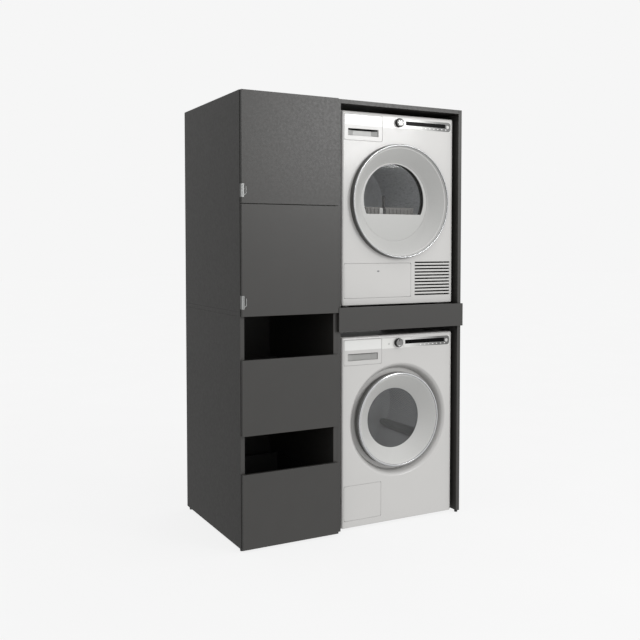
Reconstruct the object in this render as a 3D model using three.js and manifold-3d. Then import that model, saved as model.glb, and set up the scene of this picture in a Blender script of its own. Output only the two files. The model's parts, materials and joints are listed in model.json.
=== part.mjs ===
// A laundry cabinet: a tall linen column beside a tower that holds a tumble dryer over a washing machine.
// Millimetres. Origin on the floor under the middle of the cabinet, +Z up, fronts facing -Y, +X to the right.
import * as THREE from "three";
import { mergeVertices } from "three/addons/utils/BufferGeometryUtils.js";
import Module from "manifold-3d";

const wasm = await Module();
wasm.setup();

// ---------------------------------------------------------------- driving dimensions
const WIDTH = 1118; // whole cabinet, over both side boards
const HEIGHT = 1898; // floor to top boards
const CARCASS_DEPTH = 677; // side boards, front edge to back
const BOARD = 18; // carcass boards
const BACK_BOARD = 8;
const GLIDE_HEIGHT = 10; // glides under the side boards
const TOUCH = 0.3; // gap left between pieces that rest on each other

const COLUMN_WIDTH = 453; // linen column, over its boards; the tower takes the rest
const FRONT_BOARD = 16; // doors, bin fronts and pull-out front
const FRONT_GAP = 2.4; // between a closed front and the carcass
const FRONT_REVEAL_LEFT = 1.8; // front board in from the outer side
const FRONT_REVEAL_RIGHT = 2.5; // front board in from the column's right side
const PULL_PROUD = 2.6; // door pull in front of the door

const COUNTER_Z = 977; // underside of the counter board and of the dryer's platform
const DOOR_BOTTOM_Z = 976.5;
const DOOR_SEAM_Z = 1438; // middle of the gap between the two doors
const DOOR_SEAM_GAP = 3;
const DOOR_TOP_Z = HEIGHT - 1;
const BIN_FRONT_HEIGHT = 314;
const BIN_FRONT_Z = { lower_bin: 9.5, upper_bin: 483 };
const BIN_BOX = { lift: 26, height: 220, depth: 540, wall: 12, sideGap: 13 };
const RUNNER = { thick: 10, height: 36, bar: 12, rearGap: 8, frontInset: 4 };
const PULL_OUT_Z = 893; // bottom of the pull-out front
const PULL_OUT_HEIGHT = 104.5;
const TRAY = { lift: 7, height: 62, depth: 540, wall: 12, sideGap: 13 };

const MACHINE_WIDTH = 595;
const MACHINE_HEIGHT = 854; // body without its feet
const MACHINE_RECESS = 20; // machine front behind the carcass front
const WASHER_DEPTH = 585;
const DRYER_DEPTH = 630;
const WASHER_BASE_Z = 10; // body bottoms
const DRYER_BASE_Z = 1002;
const PANEL = 10; // machine front panel
const CASING_WALL = 2.5;
const PORT_Z = 464; // door centre above the body's bottom
const ROUND = 40; // sides of a large circle
const SMALL_ROUND = 20; // sides of a small one

// ---------------------------------------------------------------- places worked out from them
const OVERALL_DEPTH = CARCASS_DEPTH + FRONT_GAP + FRONT_BOARD + PULL_PROUD;
const LEFT = -WIDTH / 2;
const RIGHT = WIDTH / 2;
const BACK = OVERALL_DEPTH / 2;
const FRONT_FACE = -OVERALL_DEPTH / 2 + PULL_PROUD; // outer face of the doors
const CARCASS_FRONT = FRONT_FACE + FRONT_BOARD + FRONT_GAP;
const COLUMN_RIGHT = LEFT + COLUMN_WIDTH;
const COLUMN_IN = [LEFT + BOARD, COLUMN_RIGHT - BOARD];
const COLUMN_BACK = BACK - BACK_BOARD - TOUCH; // where the column's boards end
const BAY_IN = [COLUMN_RIGHT + TOUCH + BOARD, RIGHT - BOARD];
const BAY_MIDDLE = (BAY_IN[0] + BAY_IN[1]) / 2;
const FRONT_X = [LEFT + FRONT_REVEAL_LEFT, COLUMN_RIGHT - FRONT_REVEAL_RIGHT];
const MACHINE_FRONT = CARCASS_FRONT + MACHINE_RECESS;

const part = new THREE.Group();

// ---------------------------------------------------------------- finishes
const finish = (color, roughness, metalness = 0) =>
  new THREE.MeshStandardMaterial({ color, roughness, metalness });
const graphite = () => finish(0x55534f, 0.55);
const darkBoard = () => finish(0x2a2a28, 0.55);
const blackPlastic = () => finish(0x141414, 0.6);
const whiteEnamel = () => finish(0xe6e5e3, 0.3);
const silver = () => finish(0xb9bab9, 0.32, 0.6);
const chrome = () => finish(0xd6d7d8, 0.12, 1);
const steel = () => finish(0xa9abad, 0.3, 1);
const smokedGlass = () => finish(0x2b2c2c, 0.08);
const greyRubber = () => finish(0x5d5f60, 0.8);
const zinc = () => finish(0x9fa2a3, 0.4, 0.9);

// ---------------------------------------------------------------- solids
// A closed geometry as a manifold solid.
function solidOf(geometry) {
  const bare = geometry.index ? geometry.toNonIndexed() : geometry.clone();
  bare.deleteAttribute("normal");
  bare.deleteAttribute("uv");
  const merged = mergeVertices(bare, 1e-4);
  return new wasm.Manifold(
    new wasm.Mesh({
      numProp: 3,
      vertProperties: merged.attributes.position.array,
      triVerts: new Uint32Array(merged.index.array),
    }),
  );
}

// A manifold solid as a geometry with flat faces.
function geometryOf(solid) {
  const mesh = solid.getMesh();
  const indexed = new THREE.BufferGeometry()
    .setAttribute("position", new THREE.BufferAttribute(mesh.vertProperties, 3))
    .setIndex(new THREE.BufferAttribute(mesh.triVerts, 1));
  const flat = indexed.toNonIndexed();
  flat.computeVertexNormals();
  return flat;
}

const join = (...geometries) =>
  geometryOf(geometries.map(solidOf).reduce((whole, next) => whole.add(next)));
const cut = (base, ...tools) =>
  geometryOf(tools.map(solidOf).reduce((left, tool) => left.subtract(tool), solidOf(base)));

// A box from its low and high limits along each axis.
function box([x0, x1], [y0, y1], [z0, z1]) {
  return new THREE.BoxGeometry(x1 - x0, y1 - y0, z1 - z0).translate(
    (x0 + x1) / 2,
    (y0 + y1) / 2,
    (z0 + z1) / 2,
  );
}

// A rectangle in the X-Z plane with round corners.
function roundedShape([x0, x1], [z0, z1], radius) {
  const shape = new THREE.Shape();
  shape.moveTo(x0 + radius, z0);
  shape.lineTo(x1 - radius, z0);
  shape.absarc(x1 - radius, z0 + radius, radius, -Math.PI / 2, 0);
  shape.lineTo(x1, z1 - radius);
  shape.absarc(x1 - radius, z1 - radius, radius, 0, Math.PI / 2);
  shape.lineTo(x0 + radius, z1);
  shape.absarc(x0 + radius, z1 - radius, radius, Math.PI / 2, Math.PI);
  shape.lineTo(x0, z0 + radius);
  shape.absarc(x0 + radius, z0 + radius, radius, Math.PI, 1.5 * Math.PI);
  return shape;
}

// A shape of the X-Z plane made solid from y0 to y1.
function plate(shape, [y0, y1], curveSegments = 5) {
  const options = { depth: y1 - y0, bevelEnabled: false, curveSegments };
  return new THREE.ExtrudeGeometry(shape, options).rotateX(Math.PI / 2).translate(0, y1, 0);
}

// A disc about an axis along Y.
function disc([x, z], radius, [y0, y1], sides = SMALL_ROUND) {
  return new THREE.CylinderGeometry(radius, radius, y1 - y0, sides).translate(x, (y0 + y1) / 2, z);
}

// A turned piece about an axis along Y. The profile lists [radius, y]; it closes on itself or on the axis.
function turned(profile, [x, z], sides = ROUND) {
  const points = profile.map(([radius, y]) => new THREE.Vector2(radius, y));
  const area = points.reduce((sum, a, i) => sum + a.cross(points[(i + 1) % points.length]), 0);
  if (area < 0) points.reverse();
  if (points[0].x > 0) points.push(points[0].clone());
  return new THREE.LatheGeometry(points, sides).translate(x, 0, z);
}

// An open-topped box with walls and a floor.
function openBox(xs, ys, [z0, z1], wall) {
  const inside = box(
    [xs[0] + wall, xs[1] - wall],
    [ys[0] + wall, ys[1] - wall],
    [z0 + wall, z1 + wall],
  );
  return cut(box(xs, ys, [z0, z1]), inside);
}

function add(name, geometry, material) {
  const mesh = new THREE.Mesh(geometry, material);
  mesh.name = name;
  part.add(mesh);
}

const addBoard = (name, xs, ys, zs) => add(name, box(xs, ys, zs), graphite());

// ---------------------------------------------------------------- cabinet carcass
function buildColumnCarcass() {
  const depth = [CARCASS_FRONT, COLUMN_BACK];
  const lower = [GLIDE_HEIGHT, COUNTER_Z - TOUCH];
  const upper = [COUNTER_Z + BOARD + TOUCH, HEIGHT];
  const leftBoard = [LEFT, LEFT + BOARD];
  const rightBoard = [COLUMN_RIGHT - BOARD, COLUMN_RIGHT];
  const between = [COLUMN_IN[0] + TOUCH, COLUMN_IN[1] - TOUCH];
  addBoard("left_side_lower", leftBoard, depth, lower);
  addBoard("left_side_upper", leftBoard, depth, upper);
  addBoard("middle_side_lower", rightBoard, depth, lower);
  addBoard("middle_side_upper", rightBoard, depth, upper);
  addBoard("column_base", between, depth, [GLIDE_HEIGHT, GLIDE_HEIGHT + BOARD]);
  addBoard("counter_board", [LEFT, COLUMN_RIGHT], depth, [COUNTER_Z, COUNTER_Z + BOARD]);
  const shelfZ = DOOR_SEAM_Z - BOARD / 2;
  addBoard("column_shelf", between, depth, [shelfZ, shelfZ + BOARD]);
  addBoard("column_top", between, depth, [HEIGHT - BOARD, HEIGHT]);
  addBoard("column_back", [LEFT, COLUMN_RIGHT], [BACK - BACK_BOARD, BACK], [GLIDE_HEIGHT, HEIGHT]);
}

function buildTowerCarcass() {
  const depth = [CARCASS_FRONT, BACK];
  const between = [BAY_IN[0] + TOUCH, BAY_IN[1] - TOUCH];
  const height = [GLIDE_HEIGHT, HEIGHT];
  addBoard("tower_side_left", [COLUMN_RIGHT + TOUCH, BAY_IN[0]], depth, height);
  addBoard("tower_side_right", [BAY_IN[1], RIGHT], depth, height);
  addBoard("tower_top", between, depth, [HEIGHT - BOARD, HEIGHT]);
  addBoard("dryer_platform", between, depth, [COUNTER_Z, COUNTER_Z + BOARD]);
}

function buildGlides() {
  const glideSize = { frontInset: 14, rearInset: 22, top: 8, foot: 7 };
  const rows = { left: LEFT + BOARD / 2, middle: COLUMN_RIGHT, right: RIGHT - BOARD / 2 };
  const places = {
    front: CARCASS_FRONT + glideSize.frontInset,
    rear: COLUMN_BACK - glideSize.rearInset,
  };
  for (const [side, x] of Object.entries(rows)) {
    for (const [end, y] of Object.entries(places)) {
      const height = GLIDE_HEIGHT - TOUCH;
      const glide = new THREE.CylinderGeometry(glideSize.top, glideSize.foot, height, SMALL_ROUND);
      glide.rotateX(Math.PI / 2).translate(x, y, height / 2);
      add(`glide_${side}_${end}`, glide, blackPlastic());
    }
  }
}

// ---------------------------------------------------------------- linen column doors
// The edge pull of a door: a leg down the door's edge, a lip on its face and a flat loop beside it.
function pullGeometry(z0) {
  const size = { height: 55, lip: 8, reach: 24, loopInset: 9, corner: 7 };
  const hole = { width: 6, rim: 5, corner: 2 };
  const x0 = LEFT + TOUCH;
  const thick = [FRONT_FACE - PULL_PROUD, FRONT_FACE - TOUCH];
  const loopZ = [z0 + size.loopInset, z0 + size.height - size.loopInset];
  const holeX = [x0 + size.lip, x0 + size.lip + hole.width];
  const holeZ = [loopZ[0] + hole.rim, loopZ[1] - hole.rim];
  const edge = box([x0, FRONT_X[0] - TOUCH], [thick[0], FRONT_FACE + FRONT_BOARD], [z0, z0 + size.height]);
  const lip = box([x0, x0 + size.lip], thick, [z0, z0 + size.height]);
  const loop = plate(roundedShape([x0, x0 + size.reach], loopZ, size.corner), thick);
  const opening = plate(roundedShape(holeX, holeZ, hole.corner), [thick[0] - 1, thick[1] + 1]);
  return cut(join(edge, lip, loop), opening);
}

// A concealed hinge's carcass side: a base screwed to the middle board and an arm that reaches the door.
function hingeGeometry(z) {
  const x1 = COLUMN_IN[1] - TOUCH;
  const piece = ({ x, y, half }) =>
    box(
      x.map((value) => x1 - value),
      y.map((value) => CARCASS_FRONT + value),
      [z - half, z + half],
    );
  return join(
    piece({ x: [9, 0], y: [8, 62], half: 22 }),
    piece({ x: [20, 7], y: [-1.4, 56], half: 8 }),
  );
}

function buildDoors() {
  const doors = {
    lower_door: [DOOR_BOTTOM_Z, DOOR_SEAM_Z - DOOR_SEAM_GAP / 2],
    upper_door: [DOOR_SEAM_Z + DOOR_SEAM_GAP / 2, DOOR_TOP_Z],
  };
  const pullLift = { lower_door: 30.5, upper_door: 24 };
  const hingeInset = 100;
  for (const [name, [z0, z1]] of Object.entries(doors)) {
    addBoard(name, FRONT_X, [FRONT_FACE, FRONT_FACE + FRONT_BOARD], [z0, z1]);
    add(`${name}_pull`, pullGeometry(z0 + pullLift[name]), chrome());
    add(`${name}_hinge_bottom`, hingeGeometry(z0 + hingeInset), zinc());
    add(`${name}_hinge_top`, hingeGeometry(z1 - hingeInset), zinc());
  }
}

// ---------------------------------------------------------------- bins and pull-out
// Two runners fixed to the sides of a bay, joined behind the box by a bar that keeps them in step.
function runnerFrame([x0, x1], boxBack, z0) {
  const ys = [CARCASS_FRONT + RUNNER.frontInset, boxBack + RUNNER.rearGap + RUNNER.bar];
  const zs = [z0, z0 + RUNNER.height];
  return join(
    box([x0 + TOUCH, x0 + TOUCH + RUNNER.thick], ys, zs),
    box([x1 - TOUCH - RUNNER.thick, x1 - TOUCH], ys, zs),
    box([x0 + TOUCH, x1 - TOUCH], [ys[1] - RUNNER.bar, ys[1]], zs),
  );
}

function buildBins() {
  for (const [name, z0] of Object.entries(BIN_FRONT_Z)) {
    const front = [FRONT_FACE, FRONT_FACE + FRONT_BOARD];
    addBoard(`${name}_front`, FRONT_X, front, [z0, z0 + BIN_FRONT_HEIGHT]);
    const xs = [COLUMN_IN[0] + BIN_BOX.sideGap, COLUMN_IN[1] - BIN_BOX.sideGap];
    const ys = [front[1] + TOUCH, front[1] + TOUCH + BIN_BOX.depth];
    const zs = [z0 + BIN_BOX.lift, z0 + BIN_BOX.lift + BIN_BOX.height];
    add(`${name}_box`, openBox(xs, ys, zs, BIN_BOX.wall), darkBoard());
    add(`${name}_runners`, runnerFrame(COLUMN_IN, ys[1], zs[0] + BIN_BOX.lift), zinc());
  }
}

function buildPullOut() {
  const z1 = PULL_OUT_Z + PULL_OUT_HEIGHT;
  const front = [FRONT_FACE, FRONT_FACE + FRONT_BOARD];
  addBoard("pull_out_front", [COLUMN_RIGHT + TOUCH, RIGHT - 1], front, [PULL_OUT_Z, z1]);
  const xs = [BAY_IN[0] + TRAY.sideGap, BAY_IN[1] - TRAY.sideGap];
  const ys = [front[1] + TOUCH, front[1] + TOUCH + TRAY.depth];
  const zs = [PULL_OUT_Z + TRAY.lift, PULL_OUT_Z + TRAY.lift + TRAY.height];
  add("pull_out_tray", openBox(xs, ys, zs, TRAY.wall), darkBoard());
  add("pull_out_runners", runnerFrame(BAY_IN, ys[1], zs[0] + TRAY.wall), zinc());
}

// ---------------------------------------------------------------- machines
// Places on a machine's front: x from its middle, z from its bottom, y behind its front face.
const DRAWER = { x: [-286, -92], z: [727, 840], radius: 7, thick: 22 };
const TUB = { sideInset: 8, topInset: 8, lift: 16, front: 20, depth: 300, wall: 3 }; // behind its front
const GRIP = { x: [-267, -112], z: [747, 778], depth: 16 };
const STRIP = { x: [22, 281], z: [794, 836], thick: 1.5, radius: 12 };
const KNOB = { at: [-5, 817], radius: 20, proud: 17, bevel: 3, shaft: 4, shaftEnd: 14, bore: 4.6, gap: 0.8 };
const BUTTON = { at: [264, 815], radius: 8, proud: 1.4, depth: 9, gap: 0.5 };
const COVER_THICK = 6;
const SLIT = 1.5; // gap round drawers and covers
const FOOT = { radius: 20, inset: 45 };
const LIFTER = { halfWidth: 22, depth: 42, frontInset: 20 }; // the drums' three ribs
const THROUGH = [-1, PANEL + 1]; // a cut right through the front panel

const place = (base, { x, z }) => ({
  x: x.map((value) => BAY_MIDDLE + value),
  z: z.map((value) => base + value),
});
const spot = (base, [x, z]) => [BAY_MIDDLE + x, base + z];
const behind = (...ys) => ys.map((value) => MACHINE_FRONT + value);
const grow = ([low, high], by) => [low - by, high + by];

// The casing: top, sides, back and base in one, open at the front, on four feet.
function casingGeometry(base, depth, footHeight) {
  const xs = [BAY_MIDDLE - MACHINE_WIDTH / 2, BAY_MIDDLE + MACHINE_WIDTH / 2];
  const ys = behind(PANEL + TOUCH, depth);
  const zs = [base, base + MACHINE_HEIGHT];
  const inside = box(
    grow(xs, -CASING_WALL),
    [ys[0] - 1, ys[1] - CASING_WALL],
    grow(zs, -CASING_WALL),
  );
  const feet = [];
  for (const x of grow(xs, -FOOT.inset)) {
    for (const y of grow(ys, -FOOT.inset)) {
      const foot = new THREE.CylinderGeometry(FOOT.radius, FOOT.radius, footHeight, SMALL_ROUND);
      feet.push(foot.rotateX(Math.PI / 2).translate(x, y, base - footHeight / 2 + 1));
    }
  }
  return join(cut(box(xs, ys, zs), inside), ...feet);
}

// The front panel's blank, with the drawer, knob, button and cover openings cut through it.
function panelBlank(base, cover) {
  const xs = [BAY_MIDDLE - MACHINE_WIDTH / 2, BAY_MIDDLE + MACHINE_WIDTH / 2];
  const blank = plate(roundedShape(xs, [base, base + MACHINE_HEIGHT], 9), behind(0, PANEL));
  const through = behind(...THROUGH);
  const openings = [DRAWER, cover].map((piece) => {
    const { x, z } = place(base, piece);
    return plate(roundedShape(grow(x, SLIT), grow(z, SLIT), piece.radius), through);
  });
  return cut(
    blank,
    ...openings,
    disc(spot(base, KNOB.at), KNOB.bore, through),
    disc(spot(base, BUTTON.at), BUTTON.radius + BUTTON.gap, through),
  );
}

function buildControls(name, base) {
  const { x, z } = place(base, STRIP);
  const strip = plate(roundedShape(x, z, STRIP.radius), behind(-STRIP.thick - TOUCH, -TOUCH));
  const at = spot(base, BUTTON.at);
  const well = disc(at, BUTTON.radius + BUTTON.gap, behind(-BUTTON.depth, BUTTON.depth));
  add(`${name}_control_strip`, cut(strip, well), silver());
  const button = disc(at, BUTTON.radius, behind(-STRIP.thick - BUTTON.proud, BUTTON.depth));
  add(`${name}_start_button`, button, chrome());
  const [gap, face, shaftEnd] = behind(-KNOB.gap, -KNOB.proud, KNOB.shaftEnd);
  const knob = [
    [0, face],
    [KNOB.radius - KNOB.bevel, face],
    [KNOB.radius - KNOB.bevel / 3, face + KNOB.bevel],
    [KNOB.radius, gap],
    [KNOB.shaft, gap],
    [KNOB.shaft, shaftEnd],
    [0, shaftEnd],
  ];
  add(`${name}_knob`, turned(knob, spot(base, KNOB.at), 32), silver());
}

// A drawer in one piece: a front with a finger grip, and an open box behind it.
function drawerGeometry(base) {
  const { x, z } = place(base, DRAWER);
  const front = plate(roundedShape(x, z, DRAWER.radius), behind(0, DRAWER.thick));
  const grip = place(base, GRIP);
  const recess = box(grip.x, behind(-1, GRIP.depth), grip.z);
  const tub = openBox(
    grow(x, -TUB.sideInset),
    behind(TUB.front, TUB.depth),
    [z[0] + TUB.lift, z[1] - TUB.topInset],
    TUB.wall,
  );
  return join(cut(front, recess), tub);
}

const coverGeometry = (base, cover) => {
  const { x, z } = place(base, cover);
  return plate(roundedShape(x, z, cover.radius), behind(0, COVER_THICK));
};

// A drum: a cup with a turned-in mouth, three lifters inside and a shaft behind.
function drumGeometry(base, drum) {
  const [front, back, shaftEnd] = behind(...drum.y);
  const wall = 2;
  const cup = [
    [0, shaftEnd],
    [14, shaftEnd],
    [14, back],
    [drum.radius, back],
    [drum.radius, front],
    [drum.mouth, front],
    [drum.mouth, front + wall],
    [drum.radius - wall, front + wall],
    [drum.radius - wall, back - wall],
    [0, back - wall],
  ];
  const centre = spot(base, [0, PORT_Z]);
  const lifters = [0, 1, 2].map((index) => {
    const lifter = box(
      [-LIFTER.halfWidth, LIFTER.halfWidth],
      [front + LIFTER.frontInset, back - 1],
      [drum.radius - LIFTER.depth, drum.radius - 1],
    );
    return lifter.rotateY((index * 2 * Math.PI) / 3).translate(centre[0], 0, centre[1]);
  });
  return join(turned(cup, centre), ...lifters);
}

// ---------------------------------------------------------------- washing machine
const WASHER_COVER = { x: [-286, -94], z: [32, 188], radius: 8 };
const MOAT = { lip: 253, floor: 236, depth: 34, hole: 200, back: 38, shell: 6 };
const WASHER_DRUM = { radius: 232, mouth: 168, y: [84, 440, 500] };

function washerPanel(base) {
  const centre = spot(base, [0, PORT_Z]);
  const [front, floor, back] = behind(0, MOAT.depth, MOAT.back);
  // The moat's wall flares out to the front face in a quarter ellipse.
  const steps = 5;
  const flare = Array.from({ length: steps + 1 }, (_, step) => {
    const angle = (step / steps) * (Math.PI / 2);
    const radius = MOAT.lip - (MOAT.lip - MOAT.floor) * Math.sin(angle);
    return [radius, front + MOAT.depth * (1 - Math.cos(angle))];
  });
  const bowl = [
    [MOAT.lip + MOAT.shell, front + PANEL],
    [MOAT.floor + MOAT.shell, back],
    [MOAT.hole, back],
    [MOAT.hole, floor],
    ...flare.slice(1).reverse(),
    [MOAT.lip, front + 1],
  ];
  const blank = panelBlank(base, WASHER_COVER);
  const opened = cut(blank, disc(centre, MOAT.lip - 2, behind(...THROUGH), ROUND));
  return { opened, bowl: turned(bowl, centre) };
}

// The door's glass: a flat pane with a bowl behind it, hollow between, and a small vent into the drum.
function doorGlassGeometry([x, z]) {
  const outside = [
    [0, 106], [70, 104], [104, 94], [122, 72], [130, 49], [164, 49], [164, 44.5], [0, 44.5],
  ];
  const hollow = [[0, 102], [68, 100], [100, 90], [118, 70], [124, 49], [0, 49]];
  const vent = { x: x + 40, z, radius: 3, y: [95, 110] };
  const shell = (profile) =>
    turned(
      profile.map(([radius, y]) => [radius, MACHINE_FRONT + y]),
      [x, z],
    );
  return cut(shell(outside), shell(hollow), disc([vent.x, vent.z], vent.radius, behind(...vent.y)));
}

function buildWasher() {
  const base = WASHER_BASE_Z;
  const centre = spot(base, [0, PORT_Z]);
  add("washer_casing", casingGeometry(base, WASHER_DEPTH, GLIDE_HEIGHT + 1), whiteEnamel());
  const { opened, bowl } = washerPanel(base);
  add("washer_front_panel", join(opened, bowl), whiteEnamel());
  buildControls("washer", base);
  add("washer_detergent_drawer", drawerGeometry(base), whiteEnamel());
  add("washer_filter_cover", coverGeometry(base, WASHER_COVER), whiteEnamel());
  const frame = [
    [216, -4], [212, -9], [206, -9], [202, -6], [137.5, 42], [137.5, 44],
    [165, 44], [165, 50], [186, 50], [192, 32], [216, 32],
  ].map(([radius, y]) => [radius, MACHINE_FRONT + y]);
  add("washer_door_frame", turned(frame, centre), silver());
  add("washer_door_glass", doorGlassGeometry(centre), smokedGlass());
  const gasket = [
    [206, 38.5], [206, 69.5], [176, 69.5], [172, 62], [176, 56], [197, 56], [197, 38.5],
  ].map(([radius, y]) => [radius, MACHINE_FRONT + y]);
  add("washer_door_gasket", turned(gasket, centre), greyRubber());
  const tub = [
    [30, 470], [262, 470], [262, 70], [178, 70], [178, 74], [257, 74], [257, 465], [30, 465],
  ].map(([radius, y]) => [radius, MACHINE_FRONT + y]);
  add("washer_tub", turned(tub, centre), blackPlastic());
  const motor = [
    [20, 476], [140, 476], [140, 520], [20, 520],
  ].map(([radius, y]) => [radius, MACHINE_FRONT + y]);
  add("washer_motor", turned(motor, centre), zinc());
  add("washer_drum", drumGeometry(base, WASHER_DRUM), steel());
}

// ---------------------------------------------------------------- tumble dryer
const DRYER_COVER = { x: [-286, 64], z: [33, 186], radius: 7 };
const VENTS = { x: [86, 281], first: 37.5, pitch: 14.8, height: 6, count: 11 };
const DRYER_PORT = 232; // radius of the opening in the front panel
const DRYER_DRUM = { radius: 250, mouth: 205, y: [74, 540, 590] };
const WINDOW = { radius: 161, lift: 11, chord: -55 }; // D-shaped, measured from the door's centre
const PANE_LAP = 8; // the pane reaches past the window
const MOTOR_BLOCK = { x: [150, 270], y: [330, 520], z: [20, 130] };

// The window's outline: a circle cut off flat below.
function windowShape([x, z], radius) {
  const middle = z + WINDOW.lift;
  const chord = z + WINDOW.chord;
  const angle = Math.asin((chord - middle) / radius);
  const shape = new THREE.Shape();
  shape.absarc(x, middle, radius, angle, Math.PI - angle);
  return shape;
}

function dryerPanel(base) {
  const slots = Array.from({ length: VENTS.count }, (_, index) => {
    const low = VENTS.first + index * VENTS.pitch;
    const { x, z } = place(base, { x: VENTS.x, z: [low, low + VENTS.height] });
    return box(x, behind(...THROUGH), z);
  });
  const port = disc(spot(base, [0, PORT_Z]), DRYER_PORT, behind(...THROUGH), ROUND);
  return cut(panelBlank(base, DRYER_COVER), port, ...slots);
}

function buildDryer() {
  const base = DRYER_BASE_Z;
  const centre = spot(base, [0, PORT_Z]);
  const footHeight = DRYER_BASE_Z - COUNTER_Z - BOARD - TOUCH;
  add("dryer_casing", casingGeometry(base, DRYER_DEPTH, footHeight + 1), whiteEnamel());
  add("dryer_front_panel", dryerPanel(base), whiteEnamel());
  buildControls("dryer", base);
  add("dryer_tank_drawer", drawerGeometry(base), whiteEnamel());
  add("dryer_condenser_cover", coverGeometry(base, DRYER_COVER), whiteEnamel());
  const frame = [
    [257, -1], [257, -8], [252, -28], [248, -28], [182, 42], [0, 42], [0, 46],
    [190, 46], [190, 52], [206, 52], [226, 2], [226, -1],
  ].map(([radius, y]) => [radius, MACHINE_FRONT + y]);
  const opening = plate(windowShape(centre, WINDOW.radius), behind(40, 48), ROUND / 2);
  add("dryer_door_frame", cut(turned(frame, centre), opening), silver());
  const pane = plate(windowShape(centre, WINDOW.radius + PANE_LAP), behind(46.4, 50.4), ROUND / 2);
  add("dryer_door_glass", pane, smokedGlass());
  add("dryer_drum", drumGeometry(base, DRYER_DRUM), steel());
  const block = place(base, MOTOR_BLOCK);
  add("dryer_motor", box(block.x, behind(...MOTOR_BLOCK.y), block.z), zinc());
}

buildColumnCarcass();
buildTowerCarcass();
buildGlides();
buildDoors();
buildBins();
buildPullOut();
buildWasher();
buildDryer();

export default part;
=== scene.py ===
"""The looks of a laundry cabinet: a linen column beside a tower with a tumble dryer over a washing machine.

Everything is in metres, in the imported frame: +Z up, the fronts facing -Y and +X to the right.
"""

import json
import math
from types import SimpleNamespace

import bmesh
import bpy
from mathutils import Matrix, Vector


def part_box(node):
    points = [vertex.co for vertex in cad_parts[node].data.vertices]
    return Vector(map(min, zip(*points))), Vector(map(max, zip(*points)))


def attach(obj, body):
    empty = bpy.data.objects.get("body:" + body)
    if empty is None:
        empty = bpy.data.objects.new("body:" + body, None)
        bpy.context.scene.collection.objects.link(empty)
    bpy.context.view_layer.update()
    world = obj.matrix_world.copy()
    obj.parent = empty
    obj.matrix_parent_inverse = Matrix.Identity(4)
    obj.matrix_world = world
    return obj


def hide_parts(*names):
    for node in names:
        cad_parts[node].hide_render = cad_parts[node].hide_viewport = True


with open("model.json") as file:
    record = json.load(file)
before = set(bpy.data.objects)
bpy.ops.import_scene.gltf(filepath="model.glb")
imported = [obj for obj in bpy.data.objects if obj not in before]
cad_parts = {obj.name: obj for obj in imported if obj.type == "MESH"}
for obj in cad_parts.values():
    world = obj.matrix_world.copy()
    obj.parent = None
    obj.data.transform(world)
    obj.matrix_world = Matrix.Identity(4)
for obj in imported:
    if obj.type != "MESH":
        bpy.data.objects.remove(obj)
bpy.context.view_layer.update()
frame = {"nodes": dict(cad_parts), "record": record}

MM = 0.001
ROUND = 160  # sides of a large circle
SMALL_ROUND = 48
SCREW_ROUND = 24
CORNER_STEPS = 6  # segments in a round corner
EDGE_STEPS = 4  # segments in a rolled edge
CABINET = "cabinet"


# ---------------- places
def span(node):
    """A CAD node's limits along X, Y and Z."""
    low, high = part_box(node)
    return [(low[axis], high[axis]) for axis in range(3)]


def middle(limits):
    return (limits[0] + limits[1]) / 2


def grown(limits, by):
    return (limits[0] - by, limits[1] + by)


def moved(limits, by):
    return (limits[0] + by, limits[1] + by)


# ---------------- outlines, as (a, b) points in a plane
def polar(centre, radius, turn):
    return (centre[0] + radius * math.cos(turn), centre[1] + radius * math.sin(turn))


def circle(centre, radius, count=ROUND):
    return [polar(centre, radius, 2 * math.pi * index / count) for index in range(count)]


def arc(centre, radius, start, end, count):
    return [polar(centre, radius, start + (end - start) * index / count) for index in range(count + 1)]


def rounded_rect(a, b, radius):
    """A rectangle with round corners, from its limits along both axes."""
    radius = max(radius, 0.1 * MM)
    quarter = math.pi / 2
    a, b = grown(a, -radius), grown(b, -radius)
    corners = ((a[1], b[0]), (a[1], b[1]), (a[0], b[1]), (a[0], b[0]))
    points = []
    for index, corner in enumerate(corners):
        points += arc(corner, radius, (index - 1) * quarter, index * quarter, CORNER_STEPS)
    return points


def rect_outline(a, b, radius):
    """A function that gives the rectangle grown by a distance."""
    return lambda grow: rounded_rect(grown(a, grow), grown(b, grow), radius + grow)


def circle_outline(centre, radius, count=ROUND):
    return lambda grow: circle(centre, radius + grow, count)


def softened(points, radius, closed=True):
    """A profile with its corners rounded. A point's third value is a rounding of its own."""
    result = []
    for index, point in enumerate(points):
        here = Vector(point[:2])
        if not closed and index in (0, len(points) - 1):
            result.append(tuple(here))
            continue
        before = Vector(points[index - 1][:2]) - here
        after = Vector(points[(index + 1) % len(points)][:2]) - here
        wanted = point[2] if len(point) > 2 else radius
        reach = min(wanted, before.length * 0.45, after.length * 0.45)
        start = here + before.normalized() * reach
        end = here + after.normalized() * reach
        for step in range(EDGE_STEPS + 1):
            t = step / EDGE_STEPS
            result.append(tuple(start * (1 - t) ** 2 + here * 2 * t * (1 - t) + end * t**2))
    return result


# ---------------- mesh work
def ring(bm, outline, level, axis="y"):
    """A closed row of vertices at a level along the axis."""
    return [bm.verts.new((a, b, level) if axis == "z" else (a, level, b)) for a, b in outline]


def skin(bm, rings):
    """Faces between each ring and the next."""
    for first, second in zip(rings, rings[1:]):
        for index in range(len(first)):
            after = (index + 1) % len(first)
            bm.faces.new((first[index], first[after], second[after], second[index]))


def fill(bm, *loops):
    """A flat face inside the first loop, with the other loops as holes."""
    edges = []
    for loop in loops:
        for first, second in zip(loop, loop[1:] + loop[:1]):
            edges.append(bm.edges.get((first, second)) or bm.edges.new((first, second)))
    bmesh.ops.triangle_fill(bm, use_beauty=True, use_dissolve=False, edges=edges)


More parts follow.
